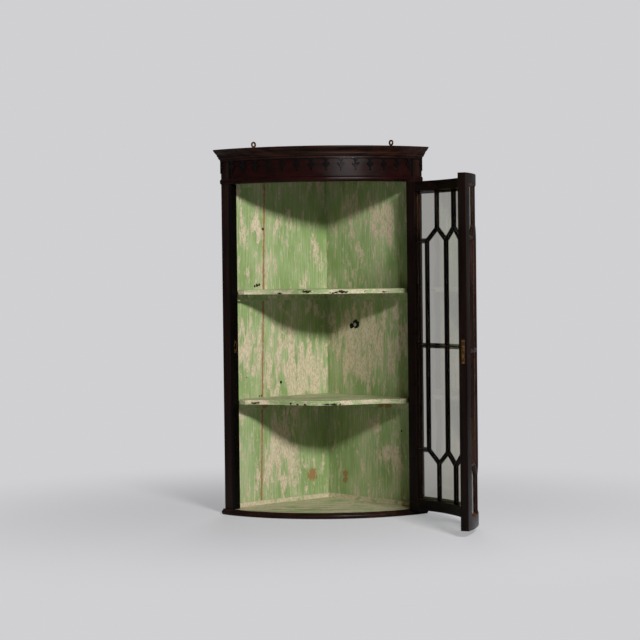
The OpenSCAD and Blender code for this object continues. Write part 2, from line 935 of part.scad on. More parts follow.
bottom_board();
top_board();
left_back(0);  // back_board_left_front
left_back(1);  // back_board_left_middle
left_back(2);  // back_board_left_corner
right_back(0);  // back_board_right_front
right_back(1);  // back_board_right_middle
right_back(2);  // back_board_right_corner
left_post();  // corner_post_left
right_post_cut();  // corner_post_right
frieze_rail();
glue_blocks();
door_stop();
shelf(lower_shelf_z);  // lower_shelf
shelf(upper_shelf_z);  // upper_shelf
left_cleat(lower_shelf_z);  // lower_cleat_left
right_cleat(lower_shelf_z);  // lower_cleat_right
left_cleat(upper_shelf_z);  // upper_cleat_left
right_cleat(upper_shelf_z);  // upper_cleat_right
left_strip();  // floor_strip_left
right_strip();  // floor_strip_right
color("#2b1510") bow_moulding(base_points(), 0);  // base_moulding_front
mirror([1, 0, 0]) base_side();  // base_moulding_left
base_side();  // base_moulding_right
color("#3a1a12") bow_moulding(bead_points(), head_z);  // bead_front
mirror([1, 0, 0]) bead_side();  // bead_left
bead_side();  // bead_right
frieze_arcade_front();
mirror([1, 0, 0]) frieze_arcade_side();  // frieze_arcade_left
frieze_arcade_side();  // frieze_arcade_right
color("#2b1510") bow_moulding(cornice_points(), cornice_z);  // cornice_front
mirror([1, 0, 0]) cornice_side();  // cornice_left
cornice_side();  // cornice_right
mirror([1, 0, 0]) right_plate();  // hanging_plate_left
right_plate();  // hanging_plate_right
hanging_screws();
lock_strike();
color("#b08d3c") hinge_leaf(1, hinge_zs[1]);  // upper_hinge_fixed_leaf
color("#b08d3c") hinge_leaf(1, hinge_zs[0]);  // lower_hinge_fixed_leaf
hinge_pins();
color("#8c6f2e") leaf_screws(1, screw_r);  // fixed_leaf_screws
hinge_stile();
lock_stile();
door_top_rail();
door_bottom_rail();
sight_moulding();
tracery_ribs();
tracery_bars();
panes(short_lights, 0);  // top_panes
panes(tall_lights, 0);  // upper_panes
panes(tall_lights, 1);  // lower_panes
panes(short_lights, 1);  // bottom_panes
color("#b08d3c") opened() hinge_leaf(-1, hinge_zs[1]);  // upper_hinge_door_leaf
color("#b08d3c") opened() hinge_leaf(-1, hinge_zs[0]);  // lower_hinge_door_leaf
color("#8c6f2e") opened() leaf_screws(-1, screw_r);  // door_leaf_screws
lock_case();
lock_screws();
keyhole_escutcheon();
lock_bolt();
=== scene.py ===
import json
import math

import bmesh
import bpy
from bpy.props import FloatProperty, FloatVectorProperty, IntProperty, PointerProperty
from mathutils import Matrix, Vector


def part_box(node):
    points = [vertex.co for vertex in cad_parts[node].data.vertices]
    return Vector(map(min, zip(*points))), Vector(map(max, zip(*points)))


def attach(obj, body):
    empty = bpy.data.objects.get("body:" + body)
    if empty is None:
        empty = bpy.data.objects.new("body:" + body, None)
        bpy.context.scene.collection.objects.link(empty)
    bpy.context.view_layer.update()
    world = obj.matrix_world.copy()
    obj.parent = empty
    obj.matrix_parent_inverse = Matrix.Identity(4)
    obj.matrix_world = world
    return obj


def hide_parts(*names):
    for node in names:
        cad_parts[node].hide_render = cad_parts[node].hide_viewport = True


bl_info = {
    "name": "Hanging corner cabinet",
    "version": (1, 0, 0),
    "blender": (4, 5, 0),
    "location": "3D View > Sidebar > Cabinet",
    "description": "Finishes and mouldings of a bow-fronted hanging corner cabinet",
    "category": "Object",
}

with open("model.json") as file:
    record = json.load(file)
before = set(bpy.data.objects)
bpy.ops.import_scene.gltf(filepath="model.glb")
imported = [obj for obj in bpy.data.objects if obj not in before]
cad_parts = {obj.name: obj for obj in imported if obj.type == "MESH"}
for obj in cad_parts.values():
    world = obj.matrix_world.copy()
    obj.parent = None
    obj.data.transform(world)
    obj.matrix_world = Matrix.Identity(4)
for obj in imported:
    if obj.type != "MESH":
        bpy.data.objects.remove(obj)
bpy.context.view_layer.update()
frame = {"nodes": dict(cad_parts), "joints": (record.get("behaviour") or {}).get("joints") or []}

MM = 0.001


def linear(hex_colour):
    """An sRGB hex colour as linear red, green and blue."""
    parts = [int(hex_colour[i:i + 2], 16) / 255 for i in (1, 3, 5)]
    return [p / 12.92 if p <= 0.04045 else ((p + 0.055) / 1.055) ** 2.4 for p in parts]


def colour(name, description, hex_colour):
    """An opaque colour setting with its default written as sRGB hex."""
    return FloatVectorProperty(name=name, description=description, subtype="COLOR", size=4,
                               min=0.0, max=1.0, default=linear(hex_colour) + [1.0])


# Places that the shapes below are set out from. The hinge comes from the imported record, and the radii
# are those of the door's nodes: its front, and the back of its mouldings next to the glass
hinge = next(j for j in frame["joints"] if j["name"] == "door_hinge")
HINGE = Vector((hinge["pos_m"][0], hinge["pos_m"][1], 0.0))
OPEN_ANGLE = -math.radians(hinge["range_deg"][0])
BOW_R = 400 * MM
PIN_OUT = 3.91 * MM
BOW_CY = HINGE.y + math.sqrt((BOW_R + PIN_OUT) ** 2 - HINGE.x ** 2)
GLASS_SIDE_R = 392.5 * MM
SIGHT_LOW, SIGHT_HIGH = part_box("sight_moulding")
DOOR_MIDDLE = (SIGHT_LOW.z + SIGHT_HIGH.z) / 2
HALF_OPENING = (SIGHT_HIGH.z - SIGHT_LOW.z) / 2

# Half width of the floor where the backs start, and of the opening between the posts
WALL_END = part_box("bottom_board")[1].x
JAMB = 257 * MM

# The first direction is along the left-hand wall and out through the right-hand one, the second is out
# through the left-hand one
TO_CORNER = Vector((math.sqrt(0.5), math.sqrt(0.5), 0.0))
OUT_LEFT = Vector((-TO_CORNER.x, TO_CORNER.y, 0.0))
UP = Vector((0.0, 0.0, 1.0))

# Vertices closer than this are one, mouldings bend round the bow in lengths of this size, and a sharper
# edge than this stays an edge
WELD = 0.01 * MM
BEND_STEP = 8 * MM
SHARP_ANGLE = math.radians(35)


class CabinetFinishes(bpy.types.PropertyGroup):
    """Colours of the cabinet's finishes."""
    mahogany_dark: colour("Mahogany, dark", "Dark lines of the polished mahogany", "#050302")
    mahogany_light: colour("Mahogany, light", "Light lines of the polished mahogany", "#180c08")
    # Lighter brown along the edges: real wear, and also a painted highlight
    mahogany_worn_highlit: colour("Mahogany, worn", "Worn arrises of the polished mahogany", "#4a2a1d")
    post_brown: colour("Posts, brown", "Light lines of the posts, the cornice and the bars", "#2e1a13")
    # Painted sheen: this brown stands in for the light that the moulding round the glass catches over its
    # mahogany
    door_sheen_brown: colour("Door, brown", "Moulding round the glass where the polish is thin", "#54301b")
    frieze_dark: colour("Frieze, dark", "Dark lines of the frieze veneer", "#0c0403")
    frieze_light: colour("Frieze, light", "Light lines of the frieze veneer", "#200806")
    arcade: colour("Arcade", "Nearly black stain of the pierced arcade", "#050303")
    green_light: colour("Green, light", "Paint where it lies thin", "#9aad7b")
    green_deep: colour("Green, deep", "Paint where it is thick", "#82985f")
    green_rubbed: colour("Green, rubbed", "Thin film of green over the undercoat", "#b2b594")
    cream: colour("Undercoat", "Cream undercoat where the green is worn off", "#cdc1a4")
    cream_dirty: colour("Undercoat, dirty", "Undercoat with dirt rubbed in", "#aa9d80")
    bare_wood: colour("Bare wood", "Wood where both coats are gone", "#94764f")
    stain: colour("Joint stain", "Brown stain along an open joint", "#98794a")
    # Painted shade: the holes are not cut, and this near black stands in for the shade inside them
    hole: colour("Holes", "Inside of a hole in the boards", "#060604")
    putty: colour("Putty", "Grey filling in a hole", "#8f8c80")
    filling: colour("Joint filling", "Old brown filling in the open joint", "#463a1e")
    chip_dark: colour("Chips", "Dark wood in small chips and along the joints", "#24150d")
    pine: colour("Pine", "Unpainted outside of the boards", "#7d5c3c")
    pine_dark: colour("Pine, dark", "Dark grain of the unpainted boards", "#573e28")
    brass: colour("Brass", "Old dulled brass", "#8a6232")
    brass_dark: colour("Brass, dark", "Tarnish on the brass", "#35240f")
    # Painted shade: the glass is seen in this darker grey to stand in for shade behind it; the light that
    # passes takes the lighter colour below
    glass: colour("Glass", "Old clear glass with a faint grey tint", "#b9b8b1")
    glass_light: colour("Glass, light", "Share of the light that passes through the glass", "#d2d8d2")


class CabinetSizes(bpy.types.PropertyGroup):
    """Sizes of the pieces made here."""
    bar_width: FloatProperty(name="Bar width", description="Width of a moulded glazing bar",
                             unit="LENGTH", default=14 * MM)
    bar_depth: FloatProperty(name="Bar depth", description="Depth of a moulded glazing bar",
                             unit="LENGTH", default=7 * MM)
    columns: IntProperty(name="Columns", description="Number of lights across the door", default=7)
    sight_width: FloatProperty(name="Sight width", description="Width of the moulding round the glass",
                               unit="LENGTH", default=8 * MM)
    column_angle: FloatProperty(name="Column angle", description="Angle between the upright bars",
                                subtype="ANGLE", default=math.radians(11.8))
    edge_angle: FloatProperty(name="Edge angle", subtype="ANGLE", default=math.radians(34.47),
                              description="Angle from the middle of the door to its stiles")
    joint_rise: FloatProperty(name="Joint rise", description="Height of the joints above the middle",
                              unit="LENGTH", default=287 * MM)
    point_rise: FloatProperty(name="Point rise", description="Height of the points above the middle",
                              unit="LENGTH", default=322 * MM)
    open_joint: FloatProperty(name="Open joint", description="Width of the joint that has opened",
                              unit="LENGTH", default=1.4 * MM)
    filling_width: FloatProperty(name="Filling width", description="Width of the filling in the joint",
                                 unit="LENGTH", default=1.5 * MM)
    filling_deep: FloatProperty(name="Filling depth", unit="LENGTH", default=2 * MM,
                                description="How far the filling lies below the faces")
    filling_short: FloatProperty(name="Filling short", unit="LENGTH", default=1 * MM,
                                 description="How far the filling stops short at its ends")
    bare_end: FloatProperty(name="Bare end", unit="LENGTH", default=1 * MM,
                            description="How deep the unpainted ends of the backs reach")
    bare_under: FloatProperty(name="Bare underside", unit="LENGTH", default=2 * MM,
                              description="How deep the unpainted underside of the floor reaches")
    edge_round: FloatProperty(name="Edge round", description="Radius of a worn arris",
                              unit="LENGTH", default=0.9 * MM)


class CabinetStage(bpy.types.PropertyGroup):
    """Floor, light and camera."""
    floor: colour("Floor", "Plain pale floor", "#d4d4d6")
    backdrop: colour("Backdrop", "Plain pale background", "#d0d0d3")
    fill_colour: colour("Fill colour", "Colour of the light from all round", "#ffe2a6")
    key_power: FloatProperty(name="Key light", description="Power of the large soft light",
                             unit="POWER", default=170.0)
    key_azimuth: FloatProperty(name="Key azimuth", description="Angle of the light to the right",
                               subtype="ANGLE", default=math.radians(22))
    key_height: FloatProperty(name="Key elevation", description="Angle of the light above level",
                              subtype="ANGLE", default=math.radians(22.5))
    key_size: FloatVectorProperty(name="Key size", description="Width and height of the key light",
                                  size=2, unit="LENGTH", default=(0.9, 0.4))
    back_power: FloatProperty(name="Back light", description="Power of the light behind the cabinet",
                              unit="POWER", default=45.0)
    back_height: FloatProperty(name="Back elevation", description="Angle of the back light above level",
                               subtype="ANGLE", default=math.radians(35))
    back_size: FloatProperty(name="Back size", description="Diameter of the light behind the cabinet",
                             unit="LENGTH", default=1.5)
    light_distance: FloatProperty(name="Light distance", unit="LENGTH", default=4.0,
                                  description="How far both lights are from what they point at")
    light_target: FloatVectorProperty(name="Light target", description="Place that both lights point at",
                                      subtype="TRANSLATION", default=(0.0, -0.05, 0.55))
    fill: FloatProperty(name="Fill", description="Strength of the light from all round",
                        default=0.013)
    reflected: FloatProperty(name="Reflected", description="Share of the background in reflections",
                             subtype="FACTOR", default=0.3)
    floor_radius: FloatProperty(name="Floor radius", description="Radius of the round floor",
                                unit="LENGTH", default=12.0)
    floor_shown: FloatProperty(name="Floor shown", unit="LENGTH", default=0.25,
                               description="Radius within which the floor shows most of its shadows")
    floor_faded: FloatProperty(name="Floor faded", unit="LENGTH", default=1.5,
                               description="Radius beyond which the floor is plain background")
    camera_place: FloatVectorProperty(name="Camera place", description="Where the camera stands",
                                      subtype="TRANSLATION", precision=4,
                                      default=(0.2602, -5.3, 0.6709))
    yaw: FloatProperty(name="Yaw", description="Turn of the camera to the right",
                       subtype="ANGLE", default=-0.0505)
    pitch: FloatProperty(name="Pitch", description="Tilt of the camera upwards",
                         subtype="ANGLE", default=-0.0243)
    roll: FloatProperty(name="Roll", description="Roll of the camera",
                        subtype="ANGLE", default=-0.0115)
    lens: FloatProperty(name="Lens", description="Focal length of the camera",
                        unit="CAMERA", default=106.87)
    sensor: FloatProperty(name="Sensor", description="Width of the camera's sensor",
                          unit="CAMERA", default=36.0)


def add(tree, kind, inputs=None, **settings):
    """Adds a node with its settings. An input given as a node or socket is linked, any other is set."""
    node = tree.nodes.new("ShaderNode" + kind)
    for name, value in settings.items():
        setattr(node, name, value)
    for name, value in (inputs or {}).items():
        if isinstance(value, bpy.types.Node):
            value = next(output for output in value.outputs if output.enabled)
        if isinstance(value, bpy.types.NodeSocket):
            tree.links.new(value, node.inputs[name])
        else:
            node.inputs[name].default_value = value
    return node


# Settings that many nodes share: a mix of two colours (its sockets are 0, 6 and 7), and a spread of
# values with a soft start and end (its sockets are the value, two limits and what they turn into)
COLOURS = {"data_type": "RGBA"}
SOFT = {"interpolation_type": "SMOOTHSTEP"}


# How far apart the patterns of one finish are taken from the noise, in its own units
LAYERS_APART = 3.0


def grain(tree, coords, along, layers, turn=0.0, shift=0.0):
    """Patterns drawn out along the X, Y or Z axis of the piece, after a turn about Z. Each layer gives
    its size in mm across and along the grain, its detail and its roughness."""
    turned = add(tree, "Mapping", {"Vector": coords, "Rotation": (0.0, 0.0, -turn)})
    patterns = []
    for number, (across_mm, along_mm, detail, roughness) in enumerate(layers):
        scale = [1 / ((along_mm if axis == along else across_mm) * MM) for axis in "XYZ"]
        place = [shift + LAYERS_APART * number] * 3
        sized = add(tree, "Mapping", {"Vector": turned, "Scale": scale, "Location": place})
        patterns.append(add(tree, "TexNoise", {"Vector": sized, "Scale": 1.0, "Detail": detail,
                                               "Roughness": roughness}))
    return patterns


def new_material(name):
    material = bpy.data.materials.new(name)
    material.use_nodes = True
    tree = material.node_tree
    tree.nodes.clear()
    return material, tree, add(tree, "TexCoord").outputs["Object"]


def finish(tree, inputs, relief, depth):
    """Ends a material in one surface shader, with relief of that depth in metres over rounded edges."""
    rounded = add(tree, "Bevel", {"Radius": bpy.context.scene.cabinet_sizes.edge_round}, samples=4)
    normal = add(tree, "Bump", {"Height": relief, "Distance": depth, "Strength": 1.0, "Normal": rounded})
    shader = add(tree, "BsdfPrincipled", {"Normal": normal, **inputs})
    add(tree, "OutputMaterial", {"Surface": shader})


# Levels of a pattern, where 1 and 2 are the sockets for the levels between which an effect comes in, and
# 3 and 4 those for its strength there. First come the ones that more than one finish has
EDGE_FOUND = {1: 0.999, 2: 0.9}
STREAKS = {1: 0.35, 2: 0.7}


def edge_share(tree, radius):
    """Nearly 1 on an outer or inner edge and 0 on a flat face."""
    rounded = add(tree, "Bevel", {"Radius": radius}, samples=6)
    flat = add(tree, "NewGeometry").outputs["Normal"]
    alike = add(tree, "VectorMath", {0: rounded, 1: flat}, operation="DOT_PRODUCT")
    return add(tree, "MapRange", {0: alike, **EDGE_FOUND}, **SOFT)


# Polished mahogany: levels, how much its pores darken it, how far its worn arrises (also a painted
# highlight along the edges) reach, how much the shine changes and how deep the pores are
FIGURE = {1: 0.3, 2: 0.75, 3: 0.0, 4: 0.75}
ARRIS_WORN_HIGHLIT = {1: 0.38, 2: 0.62, 3: 0.05, 4: 0.5}
POLISH_RUBBED = {1: 0.3, 2: 0.7}
PORES_SHARE = 0.35
ARRIS_REACH = 1.6 * MM
SHINIER, DULLER = 0.06, 0.1
PORE_DEPTH = 0.08 * MM


def mahogany(name, dark, light, arris_wear_highlight, along, turn=0.0, roughness=0.3, gloss=0.1, jamb=None):
    """Polished mahogany, planed and French polished: fine dark pores along the grain, a slow change
    from near black to red brown, and a soft shine that is duller where hands have rubbed it. Worn
    arrises are browner, as wear and as a painted highlight along the edges. Where a jamb is given,
    faces nearer the middle than it in X are the dark tone alone."""
    material, tree, coords = new_material(name)
    figure, pores, rubbed = grain(tree, coords, along, turn=turn, layers=[
        (14, 160, 3.0, 0.55), (1.6, 40, 2.0, 0.55), (60, 90, 2.0, 0.55)])
    wide = add(tree, "MapRange", {0: figure, **FIGURE}, **SOFT)
    tone = add(tree, "Math", {0: pores, 1: PORES_SHARE, 2: wide}, operation="MULTIPLY_ADD")
    body = add(tree, "Mix", {0: tone, 6: dark, 7: light}, **COLOURS)
    # Lighter arrises along every edge: wear, and also a painted highlight
    thin = add(tree, "MapRange", {0: rubbed, **ARRIS_WORN_HIGHLIT}, **SOFT)
    shown = add(tree, "Math", {0: edge_share(tree, ARRIS_REACH), 1: thin}, operation="MULTIPLY")
    body = add(tree, "Mix", {0: shown, 6: body, 7: arris_wear_highlight}, **COLOURS)
    # Faces nearer the middle than the jamb line take the dark tone alone
    if jamb:
        across = add(tree, "SeparateXYZ", {0: coords}).outputs["X"]
        inner = add(tree, "Math", {0: across, 1: 0.0, 2: jamb}, operation="COMPARE")
        body = add(tree, "Mix", {0: inner, 6: body, 7: dark}, **COLOURS)
    limits = {3: roughness - SHINIER, 4: roughness + DULLER}
    shine = add(tree, "MapRange", {0: rubbed, **POLISH_RUBBED, **limits}, **SOFT)
    raised = add(tree, "Math", {0: 1.0, 1: pores}, operation="SUBTRACT")
    finish(tree, {"Base Color": body, "Specular IOR Level": gloss, "Roughness": shine}, raised,
           PORE_DEPTH)
    return material


# Old paint. Levels: where a coat is gone, thin or dirty, where an edge turns pale (worn to the undercoat,
# and also a painted highlight along the arris), where it has flaked, and how it shines
RUBBED_THROUGH = {1: 0.577, 2: 0.592}
SCRATCHED_THROUGH = {1: 0.83, 2: 0.89, 3: 0.0, 4: 0.75}
COAT_THIN = {1: 0.6, 2: 1.0}
COAT_RUBBED = {1: 0.9, 2: 1.04, 3: 0.0, 4: 0.7}
UNDERCOAT_DIRTY = {1: 0.4, 2: 0.68}
GREEN_LEFT = {1: 0.37, 2: 0.33, 3: 0.0, 4: 0.7}
EDGE_WORN_HIGHLIT = {1: 0.6, 2: 0.64}
FLAKED = {1: 0.735, 2: 0.745}
PAINT_SHINE = {1: 0.3, 2: 0.7, 3: 0.5, 4: 0.7}
PAINT_GLOSS = 0.15
# How well the green is kept where nothing rubs it, how ragged its patches are, and how much the long
# scratches and their clusters count in what they are mixed into
GREEN_KEPT = 0.17
RAGGED_SHARE = 0.34
CLUSTER_SHARE = 0.5
STREAK_SHARE = 0.6
RUBBED_SHARE = 0.8
REGION_CORE_SHARE = 0.3
CHIPPED_REACH = 2.4 * MM
SCRATCH_RELIEF = 0.5
COAT_DEPTH = 0.18 * MM
# The open joint: how far its edges stray, its rim of undercoat and the stain within
JOINT_STRAY = -18 * MM
JOINT_RIM = {1: -2 * MM, 2: -4.5 * MM, 3: 0.0, 4: 0.8}
JOINT_STAIN = {1: -5 * MM, 2: -6.5 * MM, 3: 0.0, 4: 0.9}
# Spots: how far their outline strays, how far they reach and how soft it is, as shares of their radius
BARE_SPOT_SHARES = (2.2, 2.1, 0.05)
HOLE_SHARES = (1.0, 1.5, 0.1)
CHIP_SHARES = (4.0, 3.0, 0.15)
# Chips on an edge are drawn out along it and are flatter than they are deep
DRAWN_OUT = Vector((0.25, 1.0, 1.3))


def spot(tree, coords, uneven, place, radius, outline):
    """1 in a spot and 0 outside it, with an outline that strays after an uneven pattern."""
    stray, reach, soft = outline
    far = add(tree, "VectorMath", {0: coords, 1: place}, operation="DISTANCE")
    strayed = add(tree, "Math", {0: uneven, 1: stray * radius, 2: far}, operation="MULTIPLY_ADD")
    return add(tree, "MapRange", {0: strayed, 1: reach * radius, 2: (reach - soft) * radius}, **SOFT)


def painted(name, along, seed=0.0, cream=0.0, regions=(), bare_spots=(), holes=(), chips=(),
            joint=None, chipped=0.0, outside=()):
    """Old household paint on pine, brushed along the boards: a green coat rubbed through in ragged
    patches and long scratches to a cream undercoat, with bare wood and dark chips in places."""
    look = bpy.context.scene.cabinet_finishes
    material, tree, coords = new_material(name)
    patches, ragged, scratches, clusters, broken = grain(tree, coords, along, shift=seed, layers=[
        (22, 60, 5.0, 0.68), (4, 11, 3.0, 0.7), (3.2, 75, 3.0, 0.65), (70, 130, 2.0, 0.5),
        (5, 12, 4.0, 0.62)])
    rough_edge = add(tree, "Math", {0: ragged, 1: RAGGED_SHARE, 2: patches}, operation="MULTIPLY_ADD")
    worn = add(tree, "Math", {0: rough_edge, 1: cream - GREEN_KEPT}, operation="ADD")
    for place, radius, amount in regions:
        far = add(tree, "VectorMath", {0: coords, 1: place}, operation="DISTANCE")
        here = add(tree, "MapRange", {0: far, 1: radius, 2: REGION_CORE_SHARE * radius, 3: 0.0, 4: amount},
                   **SOFT)
        worn = add(tree, "Math", {0: worn, 1: here}, operation="ADD")
    cleared = add(tree, "MapRange", {0: worn, **RUBBED_THROUGH}, **SOFT)
    gathered = add(tree, "Math", {0: clusters, 1: CLUSTER_SHARE, 2: scratches}, operation="MULTIPLY_ADD")
    lines = add(tree, "MapRange", {0: gathered, **SCRATCHED_THROUGH}, **SOFT)
    cleared = add(tree, "Math", {0: cleared, 1: lines}, operation="MAXIMUM")

    uneven = add(tree, "Math", {0: scratches, 1: STREAK_SHARE, 2: clusters}, operation="MULTIPLY_ADD")
    shade = add(tree, "MapRange", {0: uneven, **COAT_THIN}, **SOFT)
    green = add(tree, "Mix", {0: shade, 6: look.green_deep, 7: look.green_light}, **COLOURS)
    thin = add(tree, "Math", {0: scratches, 1: RUBBED_SHARE, 2: worn}, operation="MULTIPLY_ADD")
    film = add(tree, "MapRange", {0: thin, **COAT_RUBBED}, **SOFT)
    green = add(tree, "Mix", {0: film, 6: green, 7: look.green_rubbed}, **COLOURS)
    dirt = add(tree, "MapRange", {0: ragged, **UNDERCOAT_DIRTY}, **SOFT)
    under = add(tree, "Mix", {0: dirt, 6: look.cream, 7: look.cream_dirty}, **COLOURS)
    left_over = add(tree, "MapRange", {0: scratches, **GREEN_LEFT}, **SOFT)
    under = add(tree, "Mix", {0: left_over, 6: under, 7: look.green_rubbed}, **COLOURS)
    body = add(tree, "Mix", {0: cleared, 6: green, 7: under}, **COLOURS)

    weak = broken
    # Edges turn cream: worn to the undercoat, and also a painted highlight along the arris
    if chipped:
        edge = add(tree, "Math", {0: edge_share(tree, CHIPPED_REACH), 1: chipped}, operation="MULTIPLY")
        weak = add(tree, "Math", {0: broken, 1: edge}, operation="ADD")
        pale = add(tree, "MapRange", {0: weak, **EDGE_WORN_HIGHLIT}, **SOFT)
        body = add(tree, "Mix", {0: pale, 6: body, 7: look.cream}, **COLOURS)
    for place, radius in bare_spots:
        bare = spot(tree, coords, broken, place, radius, BARE_SPOT_SHARES)
        body = add(tree, "Mix", {0: bare, 6: body, 7: look.bare_wood}, **COLOURS)
    if joint:
        foot, lean = joint
        height = add(tree, "SeparateXYZ", {0: coords}).outputs["Z"]
        line = add(tree, "Math", {0: height, 1: lean, 2: foot}, operation="MULTIPLY_ADD")
        across = add(tree, "VectorMath", {0: coords, 1: TO_CORNER}, operation="DOT_PRODUCT")
        off = add(tree, "Math", {0: across, 1: line}, operation="SUBTRACT")
        beside = add(tree, "Math", {0: off}, operation="ABSOLUTE")
        strayed = add(tree, "Math", {0: broken, 1: JOINT_STRAY, 2: beside}, operation="MULTIPLY_ADD")
        rim = add(tree, "MapRange", {0: strayed, **JOINT_RIM}, **SOFT)
        body = add(tree, "Mix", {0: rim, 6: body, 7: look.cream_dirty}, **COLOURS)
        stain = add(tree, "MapRange", {0: strayed, **JOINT_STAIN}, **SOFT)
        body = add(tree, "Mix", {0: stain, 6: body, 7: look.stain}, **COLOURS)
    lost = add(tree, "MapRange", {0: weak, **FLAKED}, **SOFT)
    body = add(tree, "Mix", {0: lost, 6: body, 7: look.chip_dark}, **COLOURS)
    # Holes and chips are flat spots of colour; the near black hole colour is painted shade inside an uncut
    # hole
    for place, radius, shade in holes:
        inside = spot(tree, coords, broken, place, radius, HOLE_SHARES)
        body = add(tree, "Mix", {0: inside, 6: body, 7: shade}, **COLOURS)
    flat = add(tree, "VectorMath", {0: coords, 1: DRAWN_OUT}, operation="MULTIPLY") if chips else None
    for place, radius in chips:
        inside = spot(tree, flat, broken, place * DRAWN_OUT, radius, CHIP_SHARES)
        body = add(tree, "Mix", {0: inside, 6: body, 7: look.chip_dark}, **COLOURS)
    for direction, distance in outside:
        reach = add(tree, "VectorMath", {0: coords, 1: direction}, operation="DOT_PRODUCT")
        beyond = add(tree, "Math", {0: reach, 1: distance}, operation="GREATER_THAN")
        streak = add(tree, "MapRange", {0: scratches, **STREAKS}, **SOFT)
        pine = add(tree, "Mix", {0: streak, 6: look.pine, 7: look.pine_dark}, **COLOURS)
        body = add(tree, "Mix", {0: beyond, 6: body, 7: pine}, **COLOURS)
    relief = add(tree, "Math", {0: scratches, 1: SCRATCH_RELIEF, 2: cleared}, operation="MULTIPLY_ADD")
    low = add(tree, "Math", {0: 1.0, 1: relief}, operation="SUBTRACT")
    shine = add(tree, "MapRange", {0: ragged, **PAINT_SHINE}, **SOFT)
    finish(tree, {"Base Color": body, "Specular IOR Level": PAINT_GLOSS, "Roughness": shine}, low,
           COAT_DEPTH)
    return material


# Bare pine: levels, dullness and depth of the saw marks
PINE_STAINED = {1: 0.45, 2: 0.75, 3: 0.0, 4: 0.6}
PINE_DULL = 0.75
SAW_DEPTH = 0.2 * MM


def bare_pine(name, dark, light, along):
    """Unpainted pine, sawn and darkened with age: dull, with wide brown grain."""
    look = bpy.context.scene.cabinet_finishes
    material, tree, coords = new_material(name)
    figure, dirt = grain(tree, coords, along, layers=[(9, 220, 4.0, 0.55), (50, 80, 3.0, 0.55)])
    streak = add(tree, "MapRange", {0: figure, **STREAKS}, **SOFT)
    body = add(tree, "Mix", {0: streak, 6: dark, 7: light}, **COLOURS)
    stained = add(tree, "MapRange", {0: dirt, **PINE_STAINED}, **SOFT)
    body = add(tree, "Mix", {0: stained, 6: body, 7: look.chip_dark}, **COLOURS)
    finish(tree, {"Base Color": body, "Roughness": PINE_DULL}, figure, SAW_DEPTH)
    return material


# Brass: levels, how bright the rubbed edges are and how far they reach, how much is metal, and relief
TARNISH_SPREAD = {1: 0.42, 2: 0.68}
BRASS_SHINE = {1: 0.3, 2: 0.7, 3: 0.55, 4: 0.35}
BRASS_RUBBED = 0.6
BRASS_REACH = 0.7 * MM
BRASS_METAL = 0.8
CAST_DEPTH = 0.08 * MM


def dulled_brass():
    """Cast brass left unpolished: brown tarnish with rubbed yellow high spots and a weak shine."""
    look = bpy.context.scene.cabinet_finishes
    material, tree, coords = new_material("dulled_brass")
    tarnish, = grain(tree, coords, "Z", layers=[(5, 5, 4.0, 0.55)])
    spread = add(tree, "MapRange", {0: tarnish, **TARNISH_SPREAD}, **SOFT)
    rubbed = add(tree, "Math", {0: edge_share(tree, BRASS_REACH), 1: BRASS_RUBBED}, operation="MULTIPLY")
    share = add(tree, "Math", {0: spread, 1: rubbed}, operation="MAXIMUM")
    body = add(tree, "Mix", {0: share, 6: look.brass_dark, 7: look.brass}, **COLOURS)
    shine = add(tree, "MapRange", {0: tarnish, **BRASS_SHINE}, **SOFT)
    finish(tree, {"Base Color": body, "Metallic": BRASS_METAL, "Roughness": shine}, tarnish, CAST_DEPTH)
    return material


# Glass: depth and strength of its ripples, and how smooth it is
RIPPLE_DEPTH = 0.5 * MM
RIPPLE_STRENGTH = 0.5
GLASS_ROUGHNESS = 0.02
GLASS_INDEX = 1.5


def old_glass():
    """Thin crown glass: clear, seen a darker grey than the light it lets through as painted shade behind
    it, with slow ripples that bend its reflections.
    """
    look = bpy.context.scene.cabinet_finishes
    material, tree, coords = new_material("old_glass")
    ripple, = grain(tree, coords, "Z", layers=[(30, 55, 1.0, 0.5)])
    normal = add(tree, "Bump", {"Height": ripple, "Distance": RIPPLE_DEPTH,
                                "Strength": RIPPLE_STRENGTH})
    # The seen colour is darkened as painted shade, and shadow rays pass the lighter glass_light instead
    shader = add(tree, "BsdfPrincipled", {"Base Color": look.glass, "Roughness": GLASS_ROUGHNESS,
                                          "IOR": GLASS_INDEX, "Transmission Weight": 1.0,
                                          "Normal": normal})
    clear = add(tree, "BsdfTransparent", {"Color": look.glass_light})
    shadow = add(tree, "LightPath").outputs["Is Shadow Ray"]
    both = add(tree, "MixShader", {0: shadow, 1: shader, 2: clear})
    add(tree, "OutputMaterial", {"Surface": both})
    return material


def dress(material, *names):
    """Puts a material on CAD nodes."""
    for name in names:
        mesh = frame["nodes"][name].data
        mesh.materials.clear()
        mesh.materials.append(material)


def dress_piece(piece, material):
    piece.data.materials.clear()
    piece.data.materials.append(material)


def made(name, bm, body):
    """Turns a finished bmesh into a piece that rides on a body."""
    bmesh.ops.remove_doubles(bm, verts=bm.verts, dist=WELD)
    bmesh.ops.recalc_face_normals(bm, faces=bm.faces)
    mesh = bpy.data.meshes.new(name)
    bm.to_mesh(mesh)
    bm.free()
    mesh.shade_smooth()
    mesh.set_sharp_from_angle(angle=SHARP_ANGLE)
    piece = bpy.data.objects.new(name, mesh)
    bpy.context.scene.collection.objects.link(piece)
    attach(piece, body)
    return piece


def on_wall(side, along_mm, height_mm):
    """A place on the inner face of a back: side is -1 for the left and 1 for the right, and the
    distance is counted along the wall from its front end."""
    reach = along_mm * MM * math.sqrt(0.5)
    return (side * (WALL_END - reach), reach, height_mm * MM)


